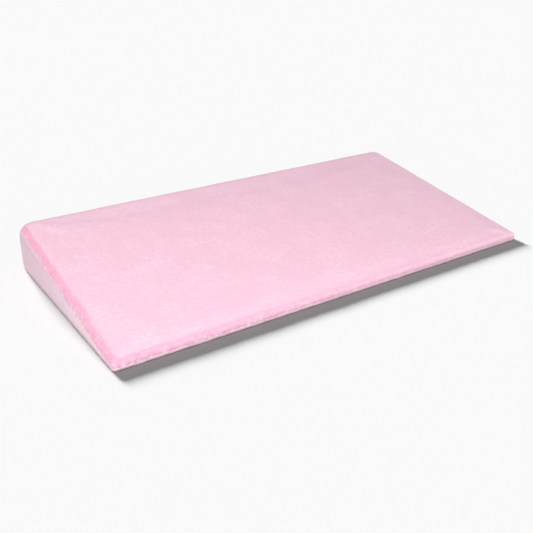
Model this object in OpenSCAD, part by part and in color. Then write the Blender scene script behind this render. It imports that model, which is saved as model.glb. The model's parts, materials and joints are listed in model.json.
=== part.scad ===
// Incline wedge cushion: a foam wedge in a waterproof liner, inside a plush cover that is
// sewn from six panels and opens with a coil zip along its tall back.
// Millimetres. +X runs along the long edges, +Y from the thin front edge to the tall back
// and +Z up. The origin is the middle of the underside.

/* [Wedge] */
// Length of the long edges
wedge_length = 600; // [560:10:900]
// Depth from the thin front edge to the tall back
wedge_depth = 300; // [280:10:450]
// Height of the tall back
back_height = 62; // [62:1:110]
// Height of the thin front edge
front_height = 11; // [11:0.5:14]
// Radius of the back corners and of the top edge above them
back_radius = 18; // [14:1:20]
// Radius of the front edge and its corners
front_radius = 5.5; // [5:0.5:6]

/* [Cover] */
// Thickness of the plush, backing and pile together
plush_t = 2.5; // [2:0.1:2.6]
// Height of the base panel's turned-up rim
rim_height = 3; // [2.8:0.1:3.4]
// Width of the seam allowances inside the cover
allowance_w = 6; // [4:0.5:6]
// Thickness of a seam allowance
allowance_t = 0.9; // [0.6:0.1:1]
// Width of the care label
label_w = 30; // [20:1:40]
// Length of the care label, folded
label_l = 30; // [20:1:31]

/* [Filling] */
// Thickness of the waterproof liner
liner_t = 0.6; // [0.4:0.1:0.7]
// Clearance between the liner and its neighbours
liner_gap = 0.3; // [0.2:0.05:0.3]

/* [Zip] */
// Height of the zip's middle above the floor
zip_z = 26; // [24:0.5:26]
// Width of the opening between the two back panels
zip_slot_w = 10.5; // [10.4:0.1:11]
// Width of one tape
tape_w = 12.6; // [11:0.1:12.6]
// Thickness of a tape
tape_t = 0.6; // [0.4:0.1:0.6]
// Width of one coil
coil_w = 2.95; // [2.6:0.05:3]
// Thickness of a coil, out from the tape
coil_t = 1.8; // [1.6:0.1:1.9]
// Length of the slider
slider_l = 12.5; // [12:0.1:13]
// Width of the slider at its nose
slider_w = 9.6; // [9.4:0.1:9.6]
// Length of the pull from its pivot
pull_l = 27; // [22:1:30]
// Width of the pull
pull_w = 7; // [6:0.5:8]

/* [Hidden] */
$fn = 48;

PLUSH = [0.98, 0.80, 0.88];
PALE = [0.97, 0.90, 0.93];
FOAM = [0.96, 0.94, 0.86];
TAPE = [0.95, 0.76, 0.84];
METAL = [0.93, 0.86, 0.88];

HULL_FN = 32;      // facets round the soft, hulled shapes
BIG = 1200;        // larger than any piece
EPS = 0.01;

half_l = wedge_length / 2;
half_d = wedge_depth / 2;

// The seam plane runs through the middles of the back and front edge roundings. The top
// panel is all that lies above it, the end and back panels lie below it.
seam_yb = half_d - back_radius;
seam_zb = back_height - back_radius;
seam_yf = -half_d + front_radius;
seam_zf = front_height - front_radius;
seam_angle = atan2(seam_zb - seam_zf, seam_yb - seam_yf);
function seam_z(y) = seam_zf + (y - seam_yf) * tan(seam_angle);

corner_x = half_l - back_radius;   // where the back corners begin, and the corner seams lie

// Nearer the front than this the wedge is too thin for the top's and the base's allowances to pass
allowance_apart = 0.5;
allowance_stack = plush_t + allowance_w * (1 + 1 / cos(seam_angle)) + allowance_apart;
allowance_y = seam_yf + (allowance_stack - seam_zf) / tan(seam_angle);

// Zip positions. The tape lies against the inner face of the back panels.
tape_out_y = half_d - plush_t;
tape_in_y = tape_out_y - tape_t;
coil_out_y = tape_out_y + coil_t;
tape_edge = 1.4;                   // from the zip's middle to a tape's inner edge
coil_edge = 0.05;                  // from the zip's middle to a coil
tab_l = 20;                        // length of the closed slot at each end
stop_l = 4;
stop_w = 3;                        // width of a top stop
stop_edge = 1.7;                   // from the zip's middle to a top stop
stop_inset = 8;                    // from the closed end of the slot to the stops
stop_x = corner_x - tab_l - stop_inset;
stop_gap = 0.5;                    // between a parked slider and a stop
slider_x = stop_x - stop_l / 2 - stop_gap - slider_l / 2;
slider_plate_t = 1.2;
slider_clear = 0.3;
slider_out_y = coil_out_y + slider_clear + slider_plate_t;
slider_in_y = tape_in_y - slider_clear - slider_plate_t;
bridge_w = 2.2;                    // the post between the slider's two plates
bridge_x = 4.5;                    // middle of the post, towards the nose
bridge_tip = 0.8;                  // the post's sharp end, towards the closed coils
flange_x = 4;                      // nose end of the flanges beside the coils
flange_lift = 0.25;                // between a flange and the tape
pivot_lift = 1.3;
pivot_y = slider_out_y + pivot_lift;
pivot_r = 0.7;
pull_t = 1.2;
crown_w = 2.4;
crown_in = 3.4;                    // from the pivot to the inside of the crown's legs
crown_out = 4.6;
crown_bar_in = 1.1;                // from the pivot to the inside of the crown's bar
crown_bar_out = 2.2;
window_l = 5.3;                    // from the pivot to the far end of the pull's window
window_w = 3.2;

// Filling, as distances in from the cover's outer faces
liner_side = plush_t + allowance_t + 2 * liner_gap;
liner_top = plush_t + liner_gap;
liner_back_in = half_d - slider_in_y + slider_clear;
foam_in = liner_t + liner_gap;
liner_lap = 0.4;
liner_floor = liner_top + liner_t + liner_lap;   // where the upright panels start

thread_r = 0.2;
thread_gap = 0.03;                 // between a thread and the cloth beside it
topstitch_r = 0.25;
topstitch_in = 3;                  // from a back panel's edge to its line of topstitching
topstitch_w = zip_slot_w / 2 + topstitch_in;

// ---- shapes that repeat ----

// A block with the wedge's outline seen from above, drawn in by inset, between two heights
module plan_block(inset, z0, z1) {
  translate([0, 0, z0]) {
    for (s = [-1, 1]) {
      translate([s * corner_x, seam_yb, 0]) cylinder(r = back_radius - inset, h = z1 - z0);
      translate([s * (half_l - front_radius), seam_yf, 0])
        cylinder(r = front_radius - inset, h = z1 - z0);
    }
    linear_extrude(z1 - z0) polygon([
      [-corner_x, half_d - inset], [corner_x, half_d - inset],
      [half_l - inset, seam_yb], [half_l - inset, seam_yf],
      [half_l - front_radius, -half_d + inset], [-half_l + front_radius, -half_d + inset],
      [-half_l + inset, seam_yf], [-half_l + inset, seam_yb],
    ]);
  }
}

// An upright wall that follows the outline, from inset a to inset b
module wall(a, b, z0, z1) {
  difference() {
    plan_block(a, z0, z1);
    plan_block(b, z0 - 1, z1 + 1);
  }
}

// Everything below the seam plane, lowered by drop
module below_seam(drop = 0) {
  translate([0, seam_yf, seam_zf - drop]) rotate([seam_angle, 0, 0])
    translate([-BIG / 2, -BIG / 2, -BIG]) cube(BIG);
}

// Box given by its two corners
module span(lo, hi) {
  translate(lo) cube(hi - lo);
}

// The rounded top of the wedge, drawn in by inset. The balls' facets line up with the seam plane.
module cap(inset) {
  hull() for (s = [-1, 1]) {
    translate([s * corner_x, seam_yb, seam_zb]) rotate([seam_angle, 0, 0])
      sphere(back_radius - inset, $fn = HULL_FN);
    translate([s * (half_l - front_radius), seam_yf, seam_zf]) rotate([seam_angle, 0, 0])
      sphere(front_radius - inset, $fn = HULL_FN);
  }
}

// The whole wedge as one soft block, for the liner and the foam
module soft_block(extra) {
  side = liner_side + extra;
  top = liner_top + extra;
  back = liner_back_in + extra;
  rb = back_radius - side;
  rf = front_radius - top;
  hull() for (s = [-1, 1]) {
    translate([s * (half_l - side - rb), half_d - back - rb, back_height - top - liner_gap - rb])
      sphere(rb, $fn = HULL_FN);
    translate([s * (half_l - side - rb), half_d - back - rb, top]) cylinder(r = rb, h = 1, $fn = HULL_FN);
    translate([s * (half_l - side - rf), -half_d + top + rf, front_height - top - rf])
      sphere(rf, $fn = HULL_FN);
    translate([s * (half_l - side - rf), -half_d + top + rf, top]) cylinder(r = rf, h = 0.2, $fn = HULL_FN);
  }
}

// The region of an end panel above z0, s = -1 left and 1 right
module end_region(s, z0) {
  intersection() {
    below_seam();
    translate([s * (corner_x + BIG / 2), seam_yf + BIG / 2, z0 + BIG / 2]) cube(BIG, center = true);
  }
}

// A rod of thread between two points on a line along X, Y or Z
module rod(from, along, length, r) {
  translate(from) rotate(along == "x" ? [0, 90, 0] : along == "y" ? [-90, 0, 0] : [0, 0, 0])
    cylinder(r = r, h = length);
}

// ---- plush cover ----

module top_panel() {
  color(PLUSH) union() {
    difference() {
      cap(0);
      cap(plush_t);
      below_seam();
    }
    // front wall below the seam plane, down to the base's rim
    intersection() {
      wall(0, plush_t, rim_height, front_height);
      below_seam(-EPS);
      span([-half_l, -half_d, 0], [half_l, seam_yf, front_height]);
    }
    // seam allowance, turned down inside the end and back panels
    difference() {
      intersection() {
        wall(plush_t, plush_t + allowance_t, 0, back_height);
        below_seam(-2);
        span([-half_l, allowance_y, 0], [half_l, half_d, back_height]);
      }
      below_seam(allowance_w);
    }
  }
}

module end_panel(s) {
  color(PLUSH) intersection() {
    wall(0, plush_t, rim_height, back_height);
    end_region(s, 0);
  }
}

module back_upper_panel() {
  color(PLUSH) intersection() {
    span([-corner_x, half_d - plush_t, zip_z + zip_slot_w / 2], [corner_x, half_d, back_height]);
    below_seam();
  }
}

module back_lower_panel() {
  color(PLUSH)
    span([-corner_x, half_d - plush_t, rim_height], [corner_x, half_d, zip_z - zip_slot_w / 2]);
}

module base_panel() {
  color(PALE) union() {
    plan_block(0, 0, plush_t);
    wall(0, plush_t, plush_t - EPS, rim_height);
    intersection() {
      wall(plush_t, plush_t + allowance_t, plush_t - EPS, plush_t + allowance_w);
      span([-half_l, allowance_y, 0], [half_l, half_d, back_height]);
    }
  }
}

// Closes the slot between the back panels beyond the end of the zip
module zip_tab(s) {
  x0 = s > 0 ? corner_x - tab_l : -corner_x;
  color(PLUSH) span(
    [x0, tape_out_y, zip_z - zip_slot_w / 2],
    [x0 + tab_l, half_d, zip_z + zip_slot_w / 2]
  );
}

// A folded satin label that comes out of the right end's top seam and hangs down
module care_label() {
  label_y = 70;
  label_t = 0.6;
  label_gap = 0.05;
  color("white") translate([half_l + label_gap, label_y, seam_z(label_y)]) rotate([seam_angle, 0, 0])
    translate([0, 0, -label_l]) cube([label_t, label_w, label_l]);
}

// ---- threads ----

// One run of thread on each end and one along the back, on the inside of the allowances
module seam_thread_top() {
  inside = plush_t + allowance_t + thread_r + thread_gap;
  run = seam_yb - allowance_y;
  drop = allowance_w / 2;
  color(PLUSH) {
    for (s = [-1, 1])
      translate([s * (half_l - inside), allowance_y, seam_z(allowance_y) - drop])
        rotate([seam_angle - 90, 0, 0]) cylinder(r = thread_r, h = run / cos(seam_angle));
    rod([-corner_x, half_d - inside, seam_z(half_d) - drop], "x", 2 * corner_x, thread_r);
  }
}

module seam_thread_base() {
  inside = plush_t + allowance_t + thread_r + thread_gap;
  z = plush_t + allowance_w / 2;
  color(PALE) {
    for (s = [-1, 1])
      rod([s * (half_l - inside), allowance_y, z], "y", seam_yb - allowance_y, thread_r);
    rod([-corner_x, half_d - inside, z], "x", 2 * corner_x, thread_r);
  }
}

// The upright seams between the end panels and the back panels
module seam_thread_corners() {
  clear = 1;                       // between the ends of these seams and the allowances
  z0 = plush_t + allowance_w + clear;
  z1 = seam_z(half_d) - allowance_w - clear;
  color(PLUSH) for (s = [-1, 1])
    rod([s * corner_x, tape_out_y - thread_r - thread_gap, z0], "z", z1 - z0, thread_r);
}

module topstitch(side) {
  color(PLUSH) rod(
    [-corner_x, half_d + topstitch_r + thread_gap, zip_z + side * topstitch_w],
    "x", 2 * corner_x, topstitch_r
  );
}

// ---- liner and foam ----

module liner_shell() {
  difference() {
    soft_block(0);
    soft_block(liner_t);
  }
}

module liner_back_region() {
  intersection() {
    below_seam();
    span([-corner_x, seam_yb, liner_floor], [corner_x, half_d, back_height]);
  }
}

// One piece of laminated knit that runs over the top, round the front edge and under the foam
module liner_wrap() {
  color(PALE) difference() {
    liner_shell();
    for (s = [-1, 1]) end_region(s, liner_floor);
    liner_back_region();
  }
}

module liner_end(s) {
  color(PALE) intersection() {
    liner_shell();
    end_region(s, liner_floor);
  }
}

module liner_back() {
  color(PALE) intersection() {
    liner_shell();
    liner_back_region();
  }
}

module foam_core() {
  color(FOAM) soft_block(foam_in);
}

// ---- zip ----

module zip_tape(side) {
  z0 = zip_z + (side > 0 ? tape_edge : -tape_edge - tape_w);
  end = corner_x - 2 * thread_r - 2 * thread_gap;
  color(TAPE) span([-end, tape_in_y, z0], [end, tape_out_y, z0 + tape_w]);
}

// The envelope of one coil, from the bottom stop to the slider's bridge
module zip_coil(side) {
  z0 = zip_z + (side > 0 ? coil_edge : -coil_edge - coil_w);
  color(TAPE) span([-stop_x + stop_l / 2, tape_out_y, z0], [slider_x, coil_out_y, z0 + coil_w]);
}

module zip_top_stops() {
  color(METAL) for (side = [-1, 1]) {
    z0 = zip_z + (side > 0 ? stop_edge : -stop_edge - stop_w);
    span([stop_x - stop_l / 2, tape_out_y, z0], [stop_x + stop_l / 2, coil_out_y, z0 + stop_w]);
  }
}

module zip_bottom_stop() {
  reach = coil_w + 1;              // over both coils and a little of each tape
  color(METAL) span(
    [-stop_x - stop_l / 2, tape_out_y, zip_z - reach],
    [-stop_x + stop_l / 2, coil_out_y, zip_z + reach]
  );
}

// Outline of a slider plate in the XZ plane, nose towards +X
module slider_outline() {
  nose_r = slider_w / 4;
  tail_r = 1.2;
  tail_w = slider_w - 1.2;
  waist_x = -1.5;
  waist_w = slider_w - 0.6;
  nose_x = slider_l / 2 - nose_r;
  tail_x = -slider_l / 2 + tail_r;
  for (s = [-1, 1]) {
    translate([nose_x, s * (slider_w / 2 - nose_r)]) circle(nose_r);
    translate([tail_x, s * (tail_w / 2 - tail_r)]) circle(tail_r);
  }
  polygon([
    [slider_l / 2, -slider_w / 2 + nose_r], [slider_l / 2, slider_w / 2 - nose_r],
    [nose_x, slider_w / 2], [waist_x, waist_w / 2], [tail_x, tail_w / 2],
    [-slider_l / 2, tail_w / 2 - tail_r], [-slider_l / 2, -tail_w / 2 + tail_r],
    [tail_x, -tail_w / 2], [waist_x, -waist_w / 2], [nose_x, -slider_w / 2],
  ]);
}

// A plate of the slider between two Y values
module slider_plate(y0, y1) {
  translate([slider_x, y1, zip_z]) rotate([90, 0, 0]) linear_extrude(y1 - y0) children();
}

module zip_slider() {
  outer_in_y = slider_out_y - slider_plate_t;
  inner_out_y = slider_in_y + slider_plate_t;
  flange_tail = 1 - slider_l / 2;
  color(METAL) union() {
    slider_plate(slider_in_y, inner_out_y) slider_outline();
    slider_plate(outer_in_y, slider_out_y) slider_outline();
    // flanges that hold the coils from outside, closer together at the tail than at the nose
    slider_plate(tape_out_y + flange_lift, outer_in_y + EPS) for (s = [-1, 1]) polygon([
      [flange_tail, s * (coil_w + 0.35)], [flange_x, s * (slider_w / 2 - 1)],
      [flange_x, s * (slider_w / 2 - 0.2)], [flange_tail, s * (slider_w / 2 - 0.7)],
    ]);
    // bridge between the plates, which parts the two coils at the nose
    slider_plate(inner_out_y - EPS, outer_in_y + EPS) {
      translate([bridge_x, 0]) circle(bridge_w / 2);
      polygon([[bridge_tip, 0], [bridge_x, bridge_w / 2], [bridge_x, -bridge_w / 2]]);
    }
    // crown over the pull's pivot
    translate([slider_x, 0, zip_z]) {
      for (s = [-1, 1])
        span(
          [s > 0 ? crown_in : -crown_out, slider_out_y - EPS, -crown_w / 2],
          [s > 0 ? crown_out : -crown_in, pivot_y + crown_bar_in + EPS, crown_w / 2]
        );
      span(
        [-crown_out, pivot_y + crown_bar_in, -crown_w / 2],
        [crown_out, pivot_y + crown_bar_out, crown_w / 2]
      );
    }
  }
}

// The pull lies flat over the closed coils and turns about its crossbar
module zip_pull() {
  end_r = pull_w / 2;
  grip_r = end_r - 1;       // recess in the outer face for a fingertip
  grip_depth = 0.3;
  color(METAL) translate([slider_x, pivot_y, zip_z]) {
    rod([0, 0, -pull_w / 2], "z", pull_w, pivot_r);
    difference() {
      union() {
        translate([-pull_l + end_r, -pull_t / 2, -pull_w / 2]) cube([pull_l - end_r, pull_t, pull_w]);
        rod([-pull_l + end_r, -pull_t / 2, 0], "y", pull_t, end_r);
      }
      translate([-window_l, -pull_t, -window_w / 2])
        cube([window_l - pivot_r, 2 * pull_t, window_w]);
      rod([-pull_l + end_r, pull_t / 2 - grip_depth, 0], "y", pull_t, grip_r);
    }
  }
}

top_panel();
end_panel(-1);  // left_end_panel
end_panel(1);  // right_end_panel
back_upper_panel();
back_lower_panel();
base_panel();
zip_tab(-1);  // zip_tab_left
zip_tab(1);  // zip_tab_right
care_label();
seam_thread_top();
seam_thread_base();
seam_thread_corners();
topstitch(1);  // topstitch_upper
topstitch(-1);  // topstitch_lower
liner_wrap();
liner_end(-1);  // liner_left_end
liner_end(1);  // liner_right_end
liner_back();
foam_core();
zip_tape(1);  // zip_tape_upper
zip_tape(-1);  // zip_tape_lower
zip_coil(1);  // zip_coil_upper
zip_coil(-1);  // zip_coil_lower
zip_top_stops();
zip_bottom_stop();
zip_slider();
zip_pull();
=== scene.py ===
"""Looks of the incline wedge cushion: plush cover, zip, label, liner and foam, in the CAD frame."""

import json
import math

import bmesh
import bpy
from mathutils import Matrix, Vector, kdtree, noise
from mathutils.bvhtree import BVHTree


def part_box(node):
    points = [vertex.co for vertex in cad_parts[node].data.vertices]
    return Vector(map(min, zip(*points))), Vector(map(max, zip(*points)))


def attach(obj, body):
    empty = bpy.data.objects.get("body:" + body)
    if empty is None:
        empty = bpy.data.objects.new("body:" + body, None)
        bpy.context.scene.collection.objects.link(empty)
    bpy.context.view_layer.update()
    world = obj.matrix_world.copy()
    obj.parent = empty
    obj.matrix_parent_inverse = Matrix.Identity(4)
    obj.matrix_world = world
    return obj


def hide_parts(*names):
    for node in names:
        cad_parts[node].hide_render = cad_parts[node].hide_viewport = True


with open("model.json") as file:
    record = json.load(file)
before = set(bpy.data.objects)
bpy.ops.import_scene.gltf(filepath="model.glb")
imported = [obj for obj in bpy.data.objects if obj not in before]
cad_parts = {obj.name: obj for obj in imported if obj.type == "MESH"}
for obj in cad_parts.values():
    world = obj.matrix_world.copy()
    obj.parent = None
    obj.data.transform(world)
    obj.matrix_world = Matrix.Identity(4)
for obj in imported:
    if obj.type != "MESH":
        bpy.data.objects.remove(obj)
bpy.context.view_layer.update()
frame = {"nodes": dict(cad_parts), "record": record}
nodes = frame["nodes"]
MM = 0.001

# ---------------------------------------------------------------- sizes, from the frame

HALF_L, HALF_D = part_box("base_panel")[1][:2]
end_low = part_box("left_end_panel")[0]
upper_low, upper_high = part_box("back_upper_panel")

CORNER_X = upper_high[0]                 # where the back corners begin
BACK_R = HALF_L - CORNER_X               # radius of the back corners and the back's top edge
FRONT_Y = end_low[1]                     # middle of the front edge's rounding
FRONT_R = FRONT_Y + HALF_D
BACK_Y = HALF_D - BACK_R                 # middle of the back edge's rounding
RIM_Z = end_low[2]                       # top of the base panel's rim
BACK_SEAM_Z = upper_high[2]              # the top seam, at the back
SLOT_TOP = upper_low[2]                  # the zip's slot, between the two back panels
SLOT_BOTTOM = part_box("back_lower_panel")[1][2]
SLOT_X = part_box("zip_tab_right")[0][0]   # half the slot's length, between the two tabs
PLUSH_T = upper_high[1] - upper_low[1]

# The top seam lies in one sloping plane, which the end panels' upper edges give.
SEAM_FRONT_Z = max(v.co.z for v in nodes["left_end_panel"].data.vertices if v.co.y < FRONT_Y + MM)
SEAM_SLOPE = math.atan2(BACK_SEAM_Z - SEAM_FRONT_Z, HALF_D - FRONT_Y)


def seam_z(y):
    """Height of the top seam at y."""
    return SEAM_FRONT_Z + (y - FRONT_Y) * math.tan(SEAM_SLOPE)


# ---------------------------------------------------------------- camera, light and floor

# The camera stands at the photograph's viewing angle.
AIM = Vector((-0.0745, -0.0825, 0.030))
AZIMUTH = math.radians(-33.93)
ELEVATION = math.radians(25.04)
DISTANCE = 0.8475
LENS = 48.27                             # focal length in millimetres, on a sensor SENSOR wide
SENSOR = 36

WORLD_LIGHT = 0.42                       # strength of the even light from all round
WORLD_SEEN = 0.95                        # strength of the same light where the camera sees it
FLOOR_R = 14                             # metres, so that its edge is far behind the cushion
FLOOR_GREY = 0.54                        # how much light it gives back
FLOOR_GAP = 0.05 * MM                    # the floor lies just below the cushion, not in its base


def add_camera():
    """A camera that looks at AIM from DISTANCE away."""
    data = bpy.data.cameras.new("camera")
    data.lens = LENS
    data.sensor_width = SENSOR
    data.clip_start = 0.01
    camera = bpy.data.objects.new("camera", data)
    bpy.context.collection.objects.link(camera)
    level = math.cos(ELEVATION)
    away = Vector((math.sin(AZIMUTH) * level, -math.cos(AZIMUTH) * level, math.sin(ELEVATION)))
    camera.location = AIM + away * DISTANCE
    camera.rotation_euler = away.to_track_quat("Z", "Y").to_euler()
    bpy.context.scene.camera = camera


def add_lamp(name, kind, place, aim, strength, size):
    """A lamp at place that shines at aim. size is a sun's width in degrees or an area's side in metres."""
    data = bpy.data.lights.new(name, kind)
    data.energy = strength
    if kind == "SUN":
        data.angle = math.radians(size)
    else:
        data.size = size
    lamp = bpy.data.objects.new(name, data)
    lamp.location = place
    lamp.rotation_euler = (Vector(place) - Vector(aim)).to_track_quat("Z", "Y").to_euler()
    bpy.context.collection.objects.link(lamp)
    return lamp


def light_only(lamp, thing, state):
    """Lets a lamp light only that thing (INCLUDE) or everything but it (EXCLUDE)."""
    group = bpy.data.collections.new(lamp.name + "_lights")
    group.objects.link(thing)
    group.collection_objects[0].light_linking.link_state = state
    lamp.light_linking.receiver_collection = group


def add_world():
    """Even light from all round. The camera sees it in the floor's own white."""
    world = bpy.data.worlds.new("studio")
    world.use_nodes = True
    tree = world.node_tree
    light = tree.nodes["Background"]
    light.inputs["Color"].default_value = (1, 1, 1, 1)
    light.inputs["Strength"].default_value = WORLD_LIGHT
    backdrop = tree.nodes.new("ShaderNodeBackground")
    backdrop.inputs["Color"].default_value = (1, 1, 1, 1)
    backdrop.inputs["Strength"].default_value = WORLD_SEEN
    ray = tree.nodes.new("ShaderNodeLightPath")
    either = tree.nodes.new("ShaderNodeMixShader")
    tree.links.new(ray.outputs["Is Camera Ray"], either.inputs["Fac"])
    tree.links.new(light.outputs["Background"], either.inputs[1])
    tree.links.new(backdrop.outputs["Background"], either.inputs[2])
    tree.links.new(either.outputs["Shader"], tree.nodes["World Output"].inputs["Surface"])
    bpy.context.scene.world = world


def add_floor():
    """A wide matt disc under the cushion."""
    mesh = bpy.data.meshes.new("floor")
    shape = bmesh.new()
    bmesh.ops.create_circle(shape, cap_ends=True, radius=FLOOR_R, segments=64)
    shape.to_mesh(mesh)
    shape.free()
    floor = bpy.data.objects.new("floor", mesh)
    floor.location.z = -FLOOR_GAP
    bpy.context.collection.objects.link(floor)
    paper = bpy.data.materials.new("floor_paper")
    paper.use_nodes = True
    shader = paper.node_tree.nodes["Principled BSDF"]
    shader.inputs["Base Color"].default_value = (FLOOR_GREY, FLOOR_GREY, FLOOR_GREY, 1)
    shader.inputs["Roughness"].default_value = 1.0
    shader.inputs["Specular IOR Level"].default_value = 0.0
    mesh.materials.append(paper)
    return floor


def add_studio():
    """The world's even light, the floor and two lamps."""
    bpy.context.scene.view_settings.view_transform = "Standard"
    add_world()
    floor = add_floor()
    # a low lamp behind throws the shadow to the front, as in a cut-out picture's drop shadow
    shadow_lamp = add_lamp(
        "shadow_lamp", "SUN", place=(0, 1, 0.37), aim=(0, 0, 0), strength=12.1, size=13,
    )
    light_only(shadow_lamp, floor, "INCLUDE")
    # a soft box at the front left lights the cushion, and leaves that shadow alone
    soft_box = add_lamp(
        "soft_box", "AREA", place=(-0.56, -0.97, 1.05), aim=(0, 0, 0.03), strength=22, size=1.0,
    )
    light_only(soft_box, floor, "EXCLUDE")


# ---------------------------------------------------------------- materials


class Paint:
    """A node material on object coordinates, built up a node at a time."""

    def __init__(self, name, color, roughness, metallic=0.0):
        self.material = bpy.data.materials.new(name)
        self.material.use_nodes = True
        self.tree = self.material.node_tree
        self.shader = self.tree.nodes["Principled BSDF"]
        self.shader.inputs["Base Color"].default_value = (*color, 1)
        self.shader.inputs["Roughness"].default_value = roughness
        self.shader.inputs["Metallic"].default_value = metallic
        self.place = self.node("ShaderNodeTexCoord").outputs["Object"]

    def node(self, kind, **values):
        made = self.tree.nodes.new(kind)
        for key, value in values.items():
            setattr(made, key, value)
        return made

    def link(self, source, target):
        self.tree.links.new(source, target)

    def noise(self, size, detail=2.0, stretch=(1, 1, 1), roughness=0.5):
        """Noise with features of about that size in metres."""
        mapping = self.node("ShaderNodeMapping")
        mapping.inputs["Scale"].default_value = [s / size for s in stretch]
        self.link(self.place, mapping.inputs["Vector"])
        made = self.node("ShaderNodeTexNoise")
        made.inputs["Scale"].default_value = 1.0
        made.inputs["Detail"].default_value = detail
        made.inputs["Roughness"].default_value = roughness
        self.link(mapping.outputs["Vector"], made.inputs["Vector"])
        return made.outputs["Fac"]

    def wave(self, size, axis):
        """Parallel bands of that spacing in metres, across an axis. At scale 1 they are pi / 10 apart."""
        made = self.node("ShaderNodeTexWave", bands_direction=axis)
        made.inputs["Scale"].default_value = math.pi / 10 / size
        self.link(self.place, made.inputs["Vector"])
        return made.outputs["Fac"]

    def along(self, axis):
        """The object coordinate along X, Y or Z."""
        made = self.node("ShaderNodeSeparateXYZ")
        self.link(self.place, made.inputs["Vector"])
        return made.outputs[axis]

    def ramp(self, source, low, high, to_low=0.0, to_high=1.0):
        """Turns low..high into to_low..to_high, smoothly at both ends."""
        made = self.node("ShaderNodeMapRange", interpolation_type="SMOOTHSTEP")
        made.inputs["From Min"].default_value = low
        made.inputs["From Max"].default_value = high
        made.inputs["To Min"].default_value = to_low
        made.inputs["To Max"].default_value = to_high
        self.link(source, made.inputs["Value"])
        return made.outputs["Result"]

    def math(self, operation, a, b):
        """Works on two values; each is a number or a node's output."""
        made = self.node("ShaderNodeMath", operation=operation)
        for socket, value in zip(made.inputs, (a, b)):
            if isinstance(value, (int, float)):
                socket.default_value = value
            else:
                self.link(value, socket)
        return made.outputs["Value"]

    def mix(self, factor, a, b):
        """Colour between a and b; each is an (r, g, b) or a node's output."""
        made = self.node("ShaderNodeMix", data_type="RGBA")
        self.link(factor, made.inputs["Factor"])
        sockets = [s for s in made.inputs if s.type == "RGBA"]
        for socket, value in zip(sockets, (a, b)):
            if isinstance(value, tuple):
                socket.default_value = (*value, 1)
            else:
                self.link(value, socket)
        return next(s for s in made.outputs if s.type == "RGBA")

    def attribute(self, name):
        """A value that the mesh's points carry."""
        return self.node("ShaderNodeAttribute", attribute_name=name).outputs["Fac"]

    def color(self, source):
        self.link(source, self.shader.inputs["Base Color"])

    def rough(self, source):
        self.link(source, self.shader.inputs["Roughness"])

    def bump(self, *layers):
        """Each layer is (height, depth in metres)."""
        normal = None
        for height, depth in layers:
            made = self.node("ShaderNodeBump")
            made.inputs["Distance"].default_value = depth
            self.link(height, made.inputs["Height"])
            if normal is not None:
                self.link(normal, made.inputs["Normal"])
            normal = made.outputs["Normal"]
        self.link(normal, self.shader.inputs["Normal"])

    def specular(self, level):
        self.shader.inputs["Specular IOR Level"].default_value = level

    def sheen(self, weight, roughness, tint=(1, 1, 1)):
        self.shader.inputs["Sheen Weight"].default_value = weight
        self.shader.inputs["Sheen Roughness"].default_value = roughness
        self.shader.inputs["Sheen Tint"].default_value = (*tint, 1)


def plush_paint():
    """Short velour pile: clumps of pile, brushed patches, a deep band round the shoulders that is partly
    painted shade, and ends painted paler as sheen and darker towards the back as shade.
    """
    p = Paint("plush", (0.86, 0.52, 0.65), 0.9)
    patches = p.noise(34 * MM, detail=3, roughness=0.6)
    clumps = p.noise(5 * MM, detail=3, stretch=(1, 1.5, 1.2))
    tufts = p.noise(0.9 * MM, detail=1)
    brushed = p.mix(p.ramp(patches, 0.32, 0.68), (0.85, 0.545, 0.665), (0.90, 0.60, 0.715))
    mottled = p.mix(p.ramp(clumps, 0.3, 0.7), (0.84, 0.525, 0.65), brushed)

    # where the surface is across the band, in half-widths from its middle, with ragged edges
    wander = p.math("ADD", p.ramp(clumps, 0.2, 0.8, -0.45, 0.45), p.ramp(patches, 0.3, 0.7, -0.2, 0.2))
    ragged = p.math("ADD", p.attribute("band"), wander)
    strength = p.attribute("deep")

    # below the band the pile is painted paler, as a sheen, and more speckled; painted shade makes it darker
    # and greyer towards the back
    speckled_sheen = p.mix(p.ramp(clumps, 0.3, 0.7), (0.81, 0.58, 0.665), (0.94, 0.76, 0.83))
    shaded = p.mix(p.ramp(p.along("Y"), -HALF_D, HALF_D), speckled_sheen, (0.71, 0.49, 0.58))
    below = p.math("MULTIPLY", strength, p.ramp(ragged, 0.7, 1.5))
    pale = p.mix(below, mottled, shaded)

    # in the band the pile parts, because it is pulled over an edge, so that its roots show; this deeper pink
    # is also painted shade, as the parted pile catches no sheen there
    inside = p.math("MULTIPLY", p.ramp(ragged, -1.2, -0.6), p.ramp(ragged, 0.2, 1.4, 1.0, 0.0))
    roots_and_shade = p.mix(p.ramp(clumps, 0.3, 0.7), (0.84, 0.345, 0.49), (0.87, 0.46, 0.60))
    p.color(p.mix(p.math("MULTIPLY", strength, inside), pale, roots_and_shade))
    p.specular(0.15)
    p.sheen(0.45, 0.5, tint=(1.0, 0.86, 0.92))
    p.bump((patches, 1.2 * MM), (clumps, 0.4 * MM), (tufts, 0.2 * MM))
    return p.material


def weave_paint(name, color, dark, pitch):
    """Plain woven cloth with threads of that pitch, on flat and on upright surfaces."""
    p = Paint(name, color, 0.85)
    flat = p.math("MULTIPLY", p.wave(pitch, "X"), p.wave(pitch, "Y"))
    upright = p.math("MULTIPLY", p.wave(pitch, "Z"), 0.5)
    threads = p.math("ADD", flat, upright)
    slubs = p.noise(12 * MM, detail=4)
    p.color(p.mix(p.ramp(slubs, 0.3, 0.7), dark, color))
    p.specular(0.25)
    p.sheen(0.2, 0.5)
    p.bump((threads, 0.15 * MM), (slubs, 0.3 * MM))
    return p.material


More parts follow.
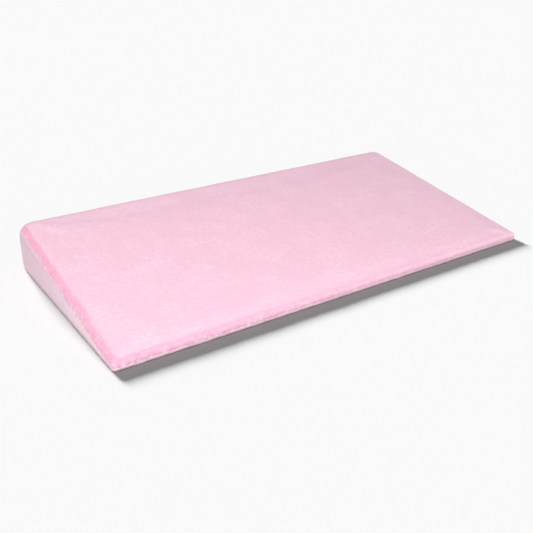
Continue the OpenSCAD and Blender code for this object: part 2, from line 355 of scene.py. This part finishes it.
def satin_paint():
    """White label satin, ribbed across."""
    p = Paint("label_satin", (0.88, 0.88, 0.90), 0.35)
    ribs = p.wave(0.35 * MM, "Z")
    wear = p.noise(6 * MM)
    p.color(p.mix(p.ramp(wear, 0.3, 0.7), (0.84, 0.84, 0.87), (0.91, 0.91, 0.92)))
    p.sheen(0.3, 0.3)
    p.bump((ribs, 0.05 * MM), (wear, 0.1 * MM))
    return p.material


def thread_paint(name, color):
    """Twisted thread, a little darker in places."""
    p = Paint(name, color, 0.6)
    twist = p.wave(0.3 * MM, "DIAGONAL")
    fade = p.noise(3 * MM)
    p.color(p.mix(fade, tuple(0.85 * part for part in color), color))
    p.sheen(0.3, 0.4)
    p.bump((twist, 0.08 * MM))
    return p.material


def nylon_paint():
    """Dyed nylon wire, streaked along its length."""
    p = Paint("zip_nylon", (0.84, 0.50, 0.62), 0.38)
    streaks = p.noise(2 * MM, stretch=(4, 1, 1))
    p.color(p.mix(streaks, (0.80, 0.46, 0.58), (0.87, 0.54, 0.66)))
    p.rough(p.ramp(streaks, 0.2, 0.8, 0.32, 0.48))
    p.bump((streaks, 0.03 * MM))
    return p.material


def enamel_paint():
    """Pink enamel on zinc, worn a little where it is handled."""
    p = Paint("slider_paint", (0.80, 0.42, 0.55), 0.3)
    peel = p.noise(0.6 * MM, detail=1)
    wear = p.noise(2.5 * MM, detail=4)
    p.color(p.mix(p.ramp(wear, 0.35, 0.75), (0.76, 0.38, 0.51), (0.83, 0.46, 0.59)))
    p.rough(p.ramp(wear, 0.3, 0.7, 0.22, 0.38))
    p.shader.inputs["Coat Weight"].default_value = 0.4
    p.bump((peel, 0.02 * MM))
    return p.material


def metal_paint():
    """Bare brushed metal."""
    p = Paint("stop_metal", (0.80, 0.80, 0.82), 0.35, metallic=1.0)
    brushed = p.noise(0.5 * MM, stretch=(1, 6, 1))
    p.color(p.mix(brushed, (0.70, 0.70, 0.73), (0.86, 0.86, 0.88)))
    p.rough(p.ramp(brushed, 0.2, 0.8, 0.28, 0.45))
    p.bump((brushed, 0.03 * MM))
    return p.material


def foam_paint():
    """Open-cell foam."""
    p = Paint("foam", (0.87, 0.82, 0.62), 0.95)
    cells = p.node("ShaderNodeTexVoronoi")
    cells.inputs["Scale"].default_value = 1 / (1.1 * MM)
    p.link(p.place, cells.inputs["Vector"])
    tone = p.noise(30 * MM)
    p.color(p.mix(tone, (0.83, 0.77, 0.55), (0.90, 0.86, 0.68)))
    p.bump((cells.outputs["Distance"], 0.4 * MM))
    return p.material


def knit_paint():
    """Knit laminated to film."""
    p = Paint("liner_film", (0.86, 0.86, 0.89), 0.5)
    wales = p.wave(0.8 * MM, "X")
    courses = p.wave(0.7 * MM, "Y")
    tone = p.noise(20 * MM)
    p.color(p.mix(tone, (0.82, 0.82, 0.86), (0.90, 0.90, 0.92)))
    p.bump((p.math("MULTIPLY", wales, courses), 0.15 * MM))
    return p.material


PAINTS = {
    "plush": plush_paint(),
    "base_cloth": weave_paint("base_cloth", (0.78, 0.55, 0.64), (0.72, 0.49, 0.58), 0.55 * MM),
    "label_satin": satin_paint(),
    "thread": thread_paint("thread", (0.86, 0.47, 0.61)),
    "base_thread": thread_paint("base_thread", (0.84, 0.60, 0.69)),
    "liner_film": knit_paint(),
    "foam": foam_paint(),
    "zip_cloth": weave_paint("zip_cloth", (0.82, 0.46, 0.59), (0.76, 0.40, 0.53), 0.45 * MM),
    "zip_nylon": nylon_paint(),
    "stop_metal": metal_paint(),
    "slider_paint": enamel_paint(),
}


def paint_cad_nodes():
    """Gives every CAD node the material of its slot in the record."""
    for part in frame["record"]["subparts"]:
        mesh = nodes[part["node"]].data
        mesh.materials.clear()
        mesh.materials.append(PAINTS[part["material_slot"]])


def finish_piece(piece, slot, node):
    """Gives a new piece of the cover its finish, hangs it on the cover's body, and hides the CAD node that it
    stands for.
    """
    piece.data.materials.append(PAINTS[slot])
    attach(piece, "cover")
    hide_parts(node)


# ---------------------------------------------------------------- the cover's soft form
#
# One closed mesh, laid out as a grid over the top, a ring of rows down the walls and a grid
# over the base. It is inflated by a cloth simulation and then cut into panels.

SPACING = 5 * MM                         # between grid points where the cover is flat
ROUND_STEPS = 6                          # across the shoulders and the back's top edge
FRONT_STEPS = 4                          # across the front edge
LONG_STEPS = round(2 * CORNER_X / SPACING)
DEEP_STEPS = round((BACK_Y - FRONT_Y) / SPACING)
UPPER_ROWS, SLOT_ROWS, LOWER_ROWS = 3, 2, 4
WALL_ROWS = UPPER_ROWS + SLOT_ROWS + LOWER_ROWS
BASE_R = 1.2 * MM                        # rounding between the base's rim and its underside
BASE_BENDS = (30, 60)                    # degrees round it where it has points
SEAM_HOLD = 0.9                          # how firmly the seams are held while the cloth swells; 1 is pinned

# The deep band is partly the pile's own deeper pink roots and partly painted shade where the parted pile
# catches no sheen.
# The deep band. Its middle lies this far past the start of the edge's rounding, at the front and the back.
BAND_FRONT, BAND_BACK = 3.8 * MM, 14.5 * MM
BAND_HALF_FRONT, BAND_HALF_BACK = 6 * MM, 5 * MM  # half its width on the shoulders, at front and back
BAND_HALF_LIP = 4.5 * MM                 # half its width along the front edge
RIGHT_DEEP, BACK_DEEP = 0.3, 0.5         # how deep it is on the right and at the back; 1 on the left
FRONT_FADE_X = 0.8 * HALF_L              # along the front edge it fades from 1 at the left to 0 here

TOP, LEFT, RIGHT, BACK_UPPER, SLOT, TAB_LEFT, TAB_RIGHT, BACK_LOWER, BASE = range(9)


def line_steps(before, middle, after):
    """Grid lines along one direction, as (rounding before, place along the middle, rounding after)."""
    lines = [(1 - i / before, 0.0, 0.0) for i in range(before)]
    lines += [(0.0, i / middle, 0.0) for i in range(middle + 1)]
    lines += [(0.0, 1.0, (i + 1) / after) for i in range(after)]
    return lines


# grid lines along X and along Y
ACROSS = line_steps(ROUND_STEPS, LONG_STEPS, ROUND_STEPS)
ALONG = line_steps(FRONT_STEPS, DEEP_STEPS, ROUND_STEPS)


def direction(a, b):
    """How far round an edge (0 on the flat, 1 at the seam) and which way, for roundings a in X and b in Y."""
    turn = max(a, b)
    if turn == 0:
        return 0.0, 0.0
    if a >= b:
        return turn, math.pi / 4 * b / a
    return turn, math.pi / 2 - math.pi / 4 * a / b


def band_half(t, toward):
    """Half the band's width, at t from front to back on the rounding that faces that way in plan."""
    side = BAND_HALF_FRONT + (BAND_HALF_BACK - BAND_HALF_FRONT) * t
    lip = toward.y ** 2 if toward.y < 0 else 0
    return side + (BAND_HALF_LIP - side) * lip


def band_depth(x, toward):
    """How deep the band is at x, on the rounding that faces that way in plan."""
    fade = min(max((FRONT_FADE_X - x) / (FRONT_FADE_X + HALF_L), 0), 1)
    side = 1 if toward.x < 0 else RIGHT_DEEP
    end = fade if toward.y < 0 else BACK_DEEP
    return side * toward.x ** 2 + end * toward.y ** 2


def nearest_edge(x, y, r):
    """How far a point of the flat top is from the nearest rounding that has a band, and which way that is."""
    edges = [(HALF_L - r - abs(x), Vector((math.copysign(1, x), 0)))]
    edges += [(y - FRONT_Y, Vector((0, -1))), (BACK_Y - y, Vector((0, 1)))]
    return min(edges, key=lambda edge: edge[0])


def grid_point(across, along):
    """One grid point: its places on the top and the base, which way is out, and how it is shaded."""
    left, s, right = across
    front, t, back = along
    turn, heading = direction(left + right, front + back)
    side = -1 if left else 1
    end = -1 if front else 1
    r = FRONT_R + (BACK_R - FRONT_R) * t
    x = (2 * s - 1) * (HALF_L - r)
    y = FRONT_Y + (BACK_Y - FRONT_Y) * t
    out = Vector((side * math.cos(heading), end * math.sin(heading), 0))
    bend = turn * math.pi / 2
    flat = Vector((x, y, 0)) + out * (r * math.sin(bend))
    lift = r * math.cos(bend)
    top = Vector((flat.x, flat.y - lift * math.sin(SEAM_SLOPE), seam_z(flat.y) + lift * math.cos(SEAM_SLOPE)))
    base = Vector((x, y, 0)) + out * ((r - BASE_R) * turn)
    if turn == 0:
        distance, toward = nearest_edge(x, y, r)
        over = -distance
    else:
        toward = out
        over = r * bend
    return {
        "top": top,
        "base": base,
        "out": out,
        "band": (over - BAND_FRONT - (BAND_BACK - BAND_FRONT) * t) / band_half(t, toward),
        "deep": band_depth(x, toward),
    }


def wall_heights(seam):
    """Heights of the wall's rows between the seam and the rim. At the back they meet the zip's slot."""
    back = BACK_SEAM_Z - RIM_Z
    slot_top = (SLOT_TOP - RIM_Z) / back
    slot_bottom = (SLOT_BOTTOM - RIM_Z) / back
    marks = [(1.0, slot_top, UPPER_ROWS), (slot_top, slot_bottom, SLOT_ROWS), (slot_bottom, 0.0, LOWER_ROWS)]
    parts = [1.0]
    for high, low, rows in marks:
        parts += [high + (low - high) * (i + 1) / rows for i in range(rows)]
    return [RIM_Z + (seam - RIM_Z) * part for part in parts]


def wall_panel(point, row):
    """Which panel a wall face belongs to, from its middle and its row. Below the wall's rows is the rim."""
    if row >= WALL_ROWS:
        return BASE
    if point.y < FRONT_Y:
        return TOP
    if point.x < -CORNER_X:
        return LEFT
    if point.x > CORNER_X:
        return RIGHT
    if row < UPPER_ROWS:
        return BACK_UPPER
    if row >= UPPER_ROWS + SLOT_ROWS:
        return BACK_LOWER
    if abs(point.x) < SLOT_X:
        return SLOT
    return TAB_LEFT if point.x < 0 else TAB_RIGHT


def wall_column(shape, top, base, out):
    """The points of one column of the wall, from the top seam down and round under the base."""
    column = [top]
    for z in wall_heights(top.co.z)[1:]:
        column.append(shape.verts.new((top.co.x, top.co.y, z)))
    for bend in BASE_BENDS:
        angle = math.radians(bend)
        place = top.co - out * (BASE_R * (1 - math.cos(angle)))
        place.z = BASE_R * (1 - math.sin(angle))
        column.append(shape.verts.new(place))
    return column + [base]


def hold_seams(shape, panel, held):
    """Holds the seams and the slot's faces, so that the rest of the cloth swells between them."""
    for edge in shape.edges:
        if len({face[panel] for face in edge.link_faces}) > 1:
            for vert in edge.verts:
                vert[held] = max(vert[held], SEAM_HOLD)
    for face in shape.faces:
        if face[panel] == SLOT:
            for vert in face.verts:
                vert[held] = 1.0


def build_form():
    """The closed form. Its faces carry their panel, its points their shading and how firmly they are held."""
    shape = bmesh.new()
    panel = shape.faces.layers.int.new("panel")
    band = shape.verts.layers.float.new("band")
    deep = shape.verts.layers.float.new("deep")
    held = shape.verts.layers.float.new("held")

    tops, bases, outs = [], [], []
    for across in ACROSS:
        made = [grid_point(across, along) for along in ALONG]
        tops.append([shape.verts.new(point["top"]) for point in made])
        bases.append([shape.verts.new(point["base"]) for point in made])
        outs.append([point["out"] for point in made])
        for vert, point in zip(tops[-1], made):
            vert[band] = point["band"]
            vert[deep] = point["deep"]
        for vert in bases[-1]:
            vert[held] = 1.0

    def add_face(verts, kind):
        face = shape.faces.new(verts)
        face[panel] = kind

    last_i, last_j = len(ACROSS) - 1, len(ALONG) - 1
    for i in range(last_i):
        for j in range(last_j):
            add_face((tops[i][j], tops[i + 1][j], tops[i + 1][j + 1], tops[i][j + 1]), TOP)
            add_face((bases[i][j], bases[i][j + 1], bases[i + 1][j + 1], bases[i + 1][j]), BASE)

    ring = [(i, 0) for i in range(last_i)] + [(last_i, j) for j in range(last_j)]
    ring += [(i, last_j) for i in range(last_i, 0, -1)] + [(0, j) for j in range(last_j, 0, -1)]
    columns = []
    for i, j in ring:
        top, out = tops[i][j], outs[i][j]
        column = wall_column(shape, top, bases[i][j], out)
        for vert in column[1:]:
            vert[band] = top[band] + (top.co.z - vert.co.z) / band_half(ALONG[j][1], out)
            vert[deep] = top[deep]
        columns.append(column)
    for left, right in zip(columns, columns[1:] + columns[:1]):
        for row in range(len(left) - 1):
            middle = (left[row].co + right[row].co) / 2
            add_face((left[row + 1], right[row + 1], right[row], left[row]), wall_panel(middle, row))

    hold_seams(shape, panel, held)
    mesh = bpy.data.meshes.new("cover_form")
    shape.to_mesh(mesh)
    shape.free()
    form = bpy.data.objects.new("cover_form", mesh)
    bpy.context.collection.objects.link(form)
    return form


SIM_FRAMES = 20
PRESSURE = 4.0                           # inside the cover
SWELL = 1.6 * MM                         # the most that any point may move
FOAM_HOLDS = 0.85                        # how much of a move inward the foam stops


def add_cloth(form):
    """Puts plush under pressure on the form, pinned where it is held, and returns the modifier."""
    pins = form.vertex_groups.new(name="pins")
    for i, hold in enumerate(form.data.attributes["held"].data):
        if hold.value > 0:
            pins.add([i], hold.value, "REPLACE")
    cloth = form.modifiers.new("cloth", "CLOTH")
    settings = cloth.settings
    settings.quality = 4
    settings.mass = 0.25
    settings.tension_stiffness = 12
    settings.compression_stiffness = 8
    settings.bending_stiffness = 0.6
    settings.use_pressure = True
    settings.uniform_pressure_force = PRESSURE
    settings.vertex_group_mass = "pins"
    settings.effector_weights.gravity = 0
    cloth.collision_settings.use_collision = False
    cloth.point_cache.frame_start = 1
    cloth.point_cache.frame_end = SIM_FRAMES
    return cloth


def inflate(form):
    """Swells the form between its seams with a cloth simulation, and returns its new points."""
    rest = [v.co.copy() for v in form.data.vertices]
    outward = [v.normal.copy() for v in form.data.vertices]
    cloth = add_cloth(form)
    scene = bpy.context.scene
    for step in range(1, SIM_FRAMES + 1):
        scene.frame_set(step)
    depsgraph = bpy.context.evaluated_depsgraph_get()
    swollen = form.evaluated_get(depsgraph)
    after = [v.co.copy() for v in swollen.data.vertices]
    form.modifiers.remove(cloth)
    scene.frame_set(1)
    moved = []
    for before, now, normal in zip(rest, after, outward):
        move = now - before
        if move.length > 0:
            move *= math.tanh(move.length / SWELL) * SWELL / move.length
        inward = min(move.dot(normal), 0)
        moved.append(before + move - normal * inward * FOAM_HOLDS)
    return moved


def cut_panel(form, points, name, kind):
    """One panel of the form, moved to its swollen points, as its own open mesh."""
    shape = bmesh.new()
    shape.from_mesh(form.data)
    for vert, point in zip(shape.verts, points):
        vert.co = point
    panel = shape.faces.layers.int["panel"]
    spare = [face for face in shape.faces if face[panel] != kind]
    bmesh.ops.delete(shape, geom=spare, context="FACES")
    mesh = bpy.data.meshes.new(name)
    shape.to_mesh(mesh)
    shape.free()
    piece = bpy.data.objects.new(name, mesh)
    bpy.context.collection.objects.link(piece)
    return piece


def apply_modifiers(piece):
    """Replaces the piece's mesh by what its modifiers make of it."""
    depsgraph = bpy.context.evaluated_depsgraph_get()
    mesh = bpy.data.meshes.new_from_object(piece.evaluated_get(depsgraph))
    piece.modifiers.clear()
    piece.data = mesh
    mesh.name = piece.name


def seam_tree(form, points):
    """A search tree over points along every seam."""
    panel = form.data.attributes["panel"].data
    kinds = {}
    for face in form.data.polygons:
        for edge in face.edge_keys:
            kinds.setdefault(edge, set()).add(panel[face.index].value)
    places = []
    for (a, b), found in kinds.items():
        if len(found) > 1:
            places += [points[a], (points[a] + points[b]) / 2]
    tree = kdtree.KDTree(len(places))
    for i, place in enumerate(places):
        tree.insert(place, i)
    tree.balance()
    return tree


GROOVE = 0.65 * MM                       # how far a seam is drawn in
GROOVE_REACH = 3.0 * MM                  # how far from the seam the groove has mostly ended
PUCKER = 0.6 * MM                        # height of the puckers beside a seam
PUCKER_REACH = 11 * MM
PUCKER_NOISE = ((95, 1.0), (210, 0.6))   # layers of noise, as (how fine it is, per metre; its share)
ROLL = 0.35 * MM                         # slow unevenness of the stuffed surface
ROLL_NOISE = ((16, 1.0), (38, 0.5))
SHOWN_T = 0.8 * PLUSH_T                  # clear of the liner, even where a seam is drawn in
OUTER_CREASE = 0.6                       # keeps a panel's edge sharp, so that neighbours meet closely


def layered_noise(place, layers):
    """Smooth noise at a place, as the sum of its layers."""
    return sum(share * noise.noise(place * fineness) for fineness, share in layers)


def plush_surface(piece, tree, roll):
    """Seam grooves, puckers beside the seams and slow unevenness, as moves along the normals."""
    mesh = piece.data
    normals = [v.normal.copy() for v in mesh.vertices]
    for vert, normal in zip(mesh.vertices, normals):
        place = vert.co.copy()
        distance = tree.find(place)[2]
        sink = GROOVE * math.exp(-((distance / GROOVE_REACH) ** 2))
        beside = math.exp(-distance / PUCKER_REACH) * (1 - math.exp(-distance / GROOVE_REACH))
        wrinkle = PUCKER * beside * layered_noise(place, PUCKER_NOISE)
        vert.co = place + normal * (wrinkle + roll * layered_noise(place, ROLL_NOISE) - sink)
        vert.co.z = max(vert.co.z, 0)
    mesh.update()


def add_subdivision(piece, name):
    """Subdivides the piece once, and returns the modifier."""
    modifier = piece.modifiers.new(name, "SUBSURF")
    modifier.levels = modifier.render_levels = 1
    return modifier


def make_panel(form, points, tree, name, kind, node, slot, roll):
    """One sewn panel with its seam grooves, its puckers and its thickness."""
    piece = cut_panel(form, points, name, kind)
    add_subdivision(piece, "dense").boundary_smooth = "PRESERVE_CORNERS"
    apply_modifiers(piece)
    plush_surface(piece, tree, roll)
    thick = piece.modifiers.new("thick", "SOLIDIFY")
    thick.thickness = SHOWN_T
    thick.offset = -1
    thick.use_even_offset = False
    thick.edge_crease_outer = OUTER_CREASE
    if slot == "plush":
        add_subdivision(piece, "smooth")
    for face in piece.data.polygons:
        face.use_smooth = True
    finish_piece(piece, slot, node)
    return piece


PANELS = (
    # name, its part of the form, the CAD node it stands for, slot, slow unevenness
    ("top_plush", TOP, "top_panel", "plush", ROLL),
    ("left_end_plush", LEFT, "left_end_panel", "plush", ROLL),
    ("right_end_plush", RIGHT, "right_end_panel", "plush", ROLL),
    ("back_upper_plush", BACK_UPPER, "back_upper_panel", "plush", 0),
    ("back_lower_plush", BACK_LOWER, "back_lower_panel", "plush", 0),
    ("left_tab_plush", TAB_LEFT, "zip_tab_left", "plush", 0),
    ("right_tab_plush", TAB_RIGHT, "zip_tab_right", "plush", 0),
    ("base_cloth", BASE, "base_panel", "base_cloth", 0),
)


def make_cover():
    """Every panel of the cover, by name."""
    form = build_form()
    points = inflate(form)
    tree = seam_tree(form, points)
    pieces = {name: make_panel(form, points, tree, name, *rest) for name, *rest in PANELS}
    bpy.data.objects.remove(form)
    return pieces


# ---------------------------------------------------------------- zip, stitches and label


def add_skin(shape, rings):
    """Joins each ring of points to the next, and closes both ends."""
    count = len(rings[0])
    for one, two in zip(rings, rings[1:]):
        for k in range(count):
            shape.faces.new((one[k], one[(k + 1) % count], two[(k + 1) % count], two[k]))
    shape.faces.new(rings[0][::-1])
    shape.faces.new(rings[-1])


def add_tube(shape, path, radius, side, sides=5):
    """Sweeps a round section along a path. side is a direction that the path never runs along."""
    rings = []
    last = len(path) - 1
    for i, point in enumerate(path):
        forward = (path[min(i + 1, last)] - path[max(i - 1, 0)]).normalized()
        across = side.cross(forward).normalized()
        up = forward.cross(across)
        angles = [2 * math.pi * k / sides for k in range(sides)]
        ring = [point + (across * math.cos(a) + up * math.sin(a)) * radius for a in angles]
        rings.append([shape.verts.new(place) for place in ring])
    add_skin(shape, rings)


def piece_of(name, shape):
    """A smooth-shaded object made of a finished shape."""
    bmesh.ops.recalc_face_normals(shape, faces=shape.faces)
    for face in shape.faces:
        face.smooth = True
    mesh = bpy.data.meshes.new(name)
    shape.to_mesh(mesh)
    shape.free()
    piece = bpy.data.objects.new(name, mesh)
    bpy.context.collection.objects.link(piece)
    return piece


COIL_PITCH = 1.27 * MM                   # from loop to loop
COIL_WIRE_R = 0.30 * MM
COIL_TURN_STEPS = 10                     # points round each loop
COIL_MESH = 0.5 * MM                     # how far the loops of one coil reach in between the other's
CORD_SIDES = 8
X_AXIS, Y_AXIS, Z_AXIS = Vector((1, 0, 0)), Vector((0, 1, 0)), Vector((0, 0, 1))


def make_coil(name, node, way):
    """One coil of nylon wire round its cord. way is 1 for the upper coil, -1 for the lower."""
    low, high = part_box(node)
    middle = (low + high) / 2
    reach_y = (high.y - low.y) / 2 - COIL_WIRE_R
    reach_z = (high.z - low.z + COIL_MESH) / 2 - COIL_WIRE_R
    loops_z = middle.z - way * COIL_MESH / 2
    turns = int((high.x - low.x) / COIL_PITCH) - 1
    # the lower coil starts half a pitch further on, so that its loops lie between the upper coil's
    start = low.x + COIL_PITCH * (0.5 if way > 0 else 1.0)
    wire = []
    for step in range(turns * COIL_TURN_STEPS + 1):
        angle = 2 * math.pi * step / COIL_TURN_STEPS
        wire.append(Vector((
            start + COIL_PITCH * step / COIL_TURN_STEPS,
            middle.y + reach_y * math.cos(angle),
            loops_z + way * reach_z * math.sin(angle),
        )))
    shape = bmesh.new()
    add_tube(shape, wire, COIL_WIRE_R, X_AXIS)
    cord = [Vector((x, middle.y, middle.z)) for x in (low.x, high.x)]
    add_tube(shape, cord, reach_y - COIL_WIRE_R, Y_AXIS, sides=CORD_SIDES)
    finish_piece(piece_of(name, shape), "zip_nylon", node)


TAPE_STEPS = 120                         # along the tape
TAPE_ROWS = 14                           # across it
TAPE_CORD = 0.3                          # width of its corded edges, as a share of half its width
TAPE_RIB = 0.12 * MM                     # how much thinner each face is between the corded edges
TAPE_ROUND = 0.3                         # how far each face is rounded off at the very edge, in thicknesses
TAPE_SWAY = 0.12 * MM                    # unevenness along its length


def tape_profile(thick):
    """How far each face of the tape is drawn in, from one edge to the other."""
    drawn_in = []
    for k in range(TAPE_ROWS + 1):
        from_edge = 1 - abs(2 * k / TAPE_ROWS - 1)
        if from_edge == 0:
            drawn_in.append(thick * TAPE_ROUND)
        elif from_edge <= TAPE_CORD:
            drawn_in.append(0.0)
        else:
            drawn_in.append(TAPE_RIB)
    return drawn_in


def make_tape(name, node):
    """A woven tape with a corded edge on each side, a little uneven along its length."""
    low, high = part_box(node)
    thick, wide = high.y - low.y, high.z - low.z
    drawn_in = tape_profile(thick)
    shape = bmesh.new()
    rings = []
    for i in range(TAPE_STEPS + 1):
        x = low.x + (high.x - low.x) * i / TAPE_STEPS
        # each tape's height gives it a sway of its own
        sway = TAPE_SWAY * noise.noise(Vector((x * 40, low.z * 100, 0)))
        outer = [(high.y - drawn_in[k], k) for k in range(TAPE_ROWS + 1)]
        inner = [(low.y + drawn_in[k], k) for k in range(TAPE_ROWS, -1, -1)]
        rings.append([shape.verts.new((x, y + sway, low.z + wide * k / TAPE_ROWS)) for y, k in outer + inner])
    add_skin(shape, rings)
    tape = piece_of(name, shape)
    finish_piece(tape, "zip_cloth", node)


def surface_tree(piece):
    """A search tree over the piece's surface as it is rendered."""
    return BVHTree.FromObject(piece, bpy.context.evaluated_depsgraph_get())


STITCH_PITCH = 3.6 * MM                  # from stitch to stitch
STITCH_L = 2.7 * MM
STITCH_STEPS = 6                         # along a stitch
STITCH_SIDES = 6
STITCH_SINK = 0.5 * MM                   # how far the ends of a stitch go down into the pile
PROBE = 20 * MM                          # how far outside a surface a search for it starts


def make_topstitch(name, node, panel):
    """A row of separate stitches that lie on the panel and dive into it at their ends."""
    low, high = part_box(node)
    middle = (low + high) / 2
    radius = (high.z - low.z) / 2
    tree = surface_tree(panel)
    shape = bmesh.new()
    for i in range(int((high.x - low.x) / STITCH_PITCH)):
        path = []
        for k in range(STITCH_STEPS + 1):
            part = k / STITCH_STEPS
            x = low.x + STITCH_PITCH * (i + 0.5) + STITCH_L * (part - 0.5)
            hit = tree.ray_cast(Vector((x, high.y + PROBE, middle.z)), -Y_AXIS)[0]
            surface = hit.y if hit else middle.y
            arch = math.sin(math.pi * part)
            path.append(Vector((x, surface - STITCH_SINK + (STITCH_SINK + radius / 2) * arch, middle.z)))
        add_tube(shape, path, radius, Z_AXIS, sides=STITCH_SIDES)
    finish_piece(piece_of(name, shape), "thread", node)


LABEL_T = 0.16 * MM
LABEL_LIFT = 5.0 * MM                    # how far the folded end stands off the end panel
LABEL_UNEVEN = 0.5                       # how much that changes along the fold, as a share of it
LABEL_GAP = 0.25 * MM                    # between the panel and the label, at the seam
LABEL_FOLD_R = 0.8 * MM                  # radius of its fold
LABEL_ROWS = 28
LABEL_COLUMNS = 12


def label_curl(part, along):
    """How far the label stands off, at part of the way down and along it. It curls most near the front."""
    return LABEL_LIFT * part * part * (1 + LABEL_UNEVEN * math.sin(3.4 * along + 0.6))


def make_label(panel):
    """A strip of satin folded in half, its two ends sewn into the seam and its fold hanging down."""
    low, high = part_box("care_label")
    along = Vector((0, math.cos(SEAM_SLOPE), math.sin(SEAM_SLOPE)))
    down = Vector((0, math.sin(SEAM_SLOPE), -math.cos(SEAM_SLOPE)))
    # the box of the tilted square gives its side
    side = (high.y - low.y) / (math.cos(SEAM_SLOPE) + math.sin(SEAM_SLOPE))
    start = Vector((low.x, low.y, seam_z(low.y)))
    leaf = side - LABEL_FOLD_R           # the flat length of each of its two leaves
    tree = surface_tree(panel)
    shape = bmesh.new()
    rows = []
    for i in range(LABEL_ROWS + 1):
        run = 2 * side * i / LABEL_ROWS
        reach = min(run, 2 * side - run, leaf)
        part = reach / side
        if leaf < run < 2 * side - leaf:
            bend = math.pi * (run - leaf) / (2 * LABEL_FOLD_R)
            gap = LABEL_FOLD_R * part * (1 + math.cos(bend))
        else:
            bend = 0.0
            gap = 2 * LABEL_FOLD_R * part if run <= side else 0
        row = []
        for k in range(LABEL_COLUMNS + 1):
            place = start + along * (side * k / LABEL_COLUMNS) + down * reach
            hit = tree.ray_cast(place + X_AXIS * PROBE, -X_AXIS)[0]
            ground = hit.x if hit else place.x
            place += down * (LABEL_FOLD_R * math.sin(bend))
            place.x = ground + LABEL_GAP + label_curl(part, k / LABEL_COLUMNS) + gap
            row.append(shape.verts.new(place))
        rows.append(row)
    for one, two in zip(rows, rows[1:]):
        for k in range(LABEL_COLUMNS):
            shape.faces.new((one[k], one[k + 1], two[k + 1], two[k]))
    label = piece_of("blank_label", shape)
    thick = label.modifiers.new("thick", "SOLIDIFY")
    thick.thickness = LABEL_T
    thick.offset = 0
    add_subdivision(label, "smooth")
    finish_piece(label, "label_satin", "care_label")


# rounding of the edges of the zip's metal
METAL_EDGES = {
    "zip_slider": 0.25 * MM,
    "zip_pull": 0.22 * MM,
    "zip_top_stops": 0.3 * MM,
    "zip_bottom_stop": 0.3 * MM,
}
METAL_SHARP = math.radians(35)           # an edge that turns by more than this is rounded


def soften_metal():
    """Small rounded edges on the zip's metal."""
    for node, width in METAL_EDGES.items():
        metal = nodes[node]
        bevel = metal.modifiers.new("edges", "BEVEL")
        bevel.width = width
        bevel.segments = 3
        bevel.limit_method = "ANGLE"
        bevel.angle_limit = METAL_SHARP
        for face in metal.data.polygons:
            face.use_smooth = True
        flats = metal.modifiers.new("flats", "WEIGHTED_NORMAL")
        flats.keep_sharp = True


# ---------------------------------------------------------------- run

add_camera()
add_studio()
paint_cad_nodes()
cover = make_cover()
make_tape("upper_tape", "zip_tape_upper")
make_tape("lower_tape", "zip_tape_lower")
make_coil("upper_coil", "zip_coil_upper", 1)
make_coil("lower_coil", "zip_coil_lower", -1)
make_topstitch("upper_topstitch", "topstitch_upper", cover["back_upper_plush"])
make_topstitch("lower_topstitch", "topstitch_lower", cover["back_lower_plush"])
make_label(cover["right_end_plush"])
soften_metal()
